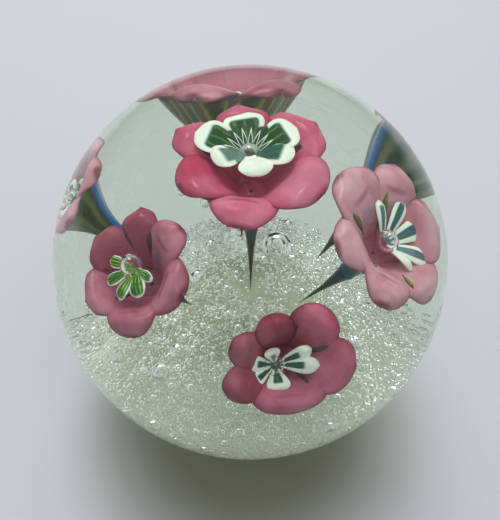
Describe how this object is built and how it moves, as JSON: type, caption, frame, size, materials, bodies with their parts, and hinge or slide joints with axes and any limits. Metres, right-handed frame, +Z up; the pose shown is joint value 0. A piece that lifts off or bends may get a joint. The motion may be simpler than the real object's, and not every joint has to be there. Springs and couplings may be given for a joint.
{
  "type": "paperweight",
  "caption": "Clear cased glass globe with a flat ground base, holding pink and white trumpet flowers with dark stems over a grey-green bed of air bubbles.",
  "frame": {"origin": "centre of the flat ground base", "axes": "+Z up through the top of the globe, -Y the front that the picture looks towards, +X to the right"},
  "size_m": [0.082, 0.082, 0.0762],
  "materials": {
    "clear_glass": "fire-polished clear glass with a faint green cast",
    "core_glass": "clear inner glass, fused to the casing",
    "bubble_glass": "grey-green glass crowded with small air bubbles",
    "rose_petals": "translucent deep rose glass",
    "pink_petals": "translucent dusty pink glass with mauve clouds",
    "white_petals": "opaque white glass streaked with green",
    "green_trumpets": "dense green and olive glass with a blue stripe",
    "dark_stems": "dense teal to brown glass"
  },
  "bodies": {
    "root": {"clear_casing": "clear_glass", "clear_core": "core_glass", "bubble_bed": "bubble_glass", "centre_flower_petals": "rose_petals", "centre_flower_inner_petals": "white_petals", "centre_flower_trumpet": "green_trumpets", "centre_flower_stem": "dark_stems", "front_flower_petals": "pink_petals", "front_flower_inner_petals": "white_petals", "front_flower_trumpet": "green_trumpets", "front_flower_stem": "dark_stems", "left_flower_petals": "pink_petals", "left_flower_inner_petals": "white_petals", "left_flower_trumpet": "green_trumpets", "left_flower_stem": "dark_stems", "right_flower_petals": "pink_petals", "right_flower_inner_petals": "white_petals", "right_flower_trumpet": "green_trumpets", "right_flower_stem": "dark_stems", "back_flower_petals": "pink_petals", "back_flower_inner_petals": "white_petals", "back_flower_trumpet": "green_trumpets", "back_flower_stem": "dark_stems", "left_back_flower_petals": "pink_petals", "left_back_flower_inner_petals": "white_petals", "left_back_flower_trumpet": "green_trumpets", "left_back_flower_stem": "dark_stems", "right_back_flower_petals": "pink_petals", "right_back_flower_inner_petals": "white_petals", "right_back_flower_trumpet": "green_trumpets", "right_back_flower_stem": "dark_stems"}
  },
  "joints": []
}
